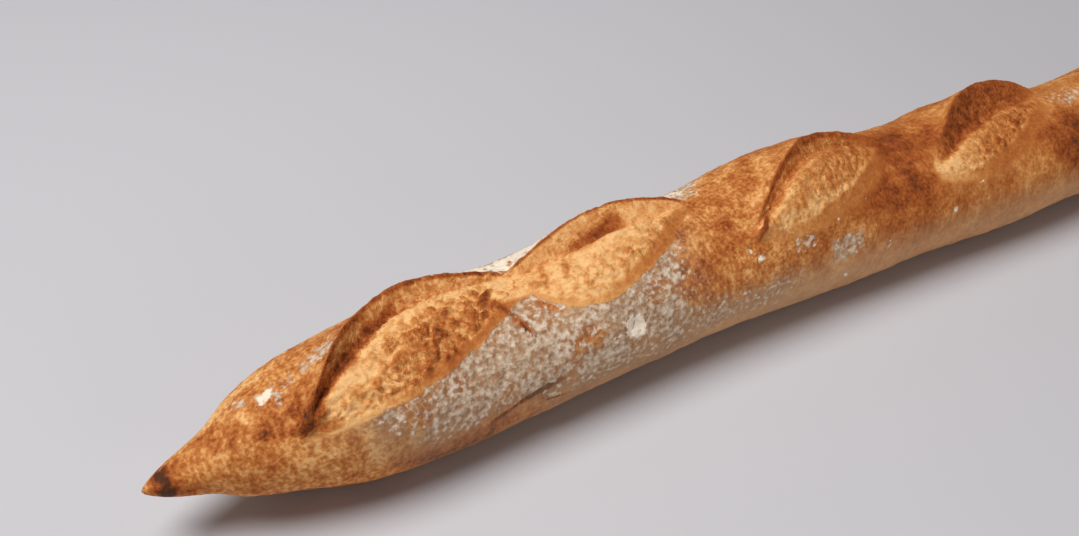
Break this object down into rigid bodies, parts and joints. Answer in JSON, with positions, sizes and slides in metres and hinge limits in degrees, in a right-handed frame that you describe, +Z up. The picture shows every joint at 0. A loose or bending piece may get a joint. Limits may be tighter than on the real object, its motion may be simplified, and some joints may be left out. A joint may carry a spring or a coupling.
{
  "type": "baguette",
  "caption": "Long crusty loaf with pointed ends, a flat underside and slanting slashes along its top that open into pale crumb under raised crust ears.",
  "frame": {"origin": "middle of the bounding box at its bottom, on the surface the loaf lies on", "axes": "+X along the loaf to its far tip, +Y away from the floured flank, +Z up"},
  "size_m": [0.55, 0.0684, 0.0649],
  "materials": {
    "crust": null
  },
  "bodies": {
    "root": {"baguette": "crust"}
  },
  "joints": []
}
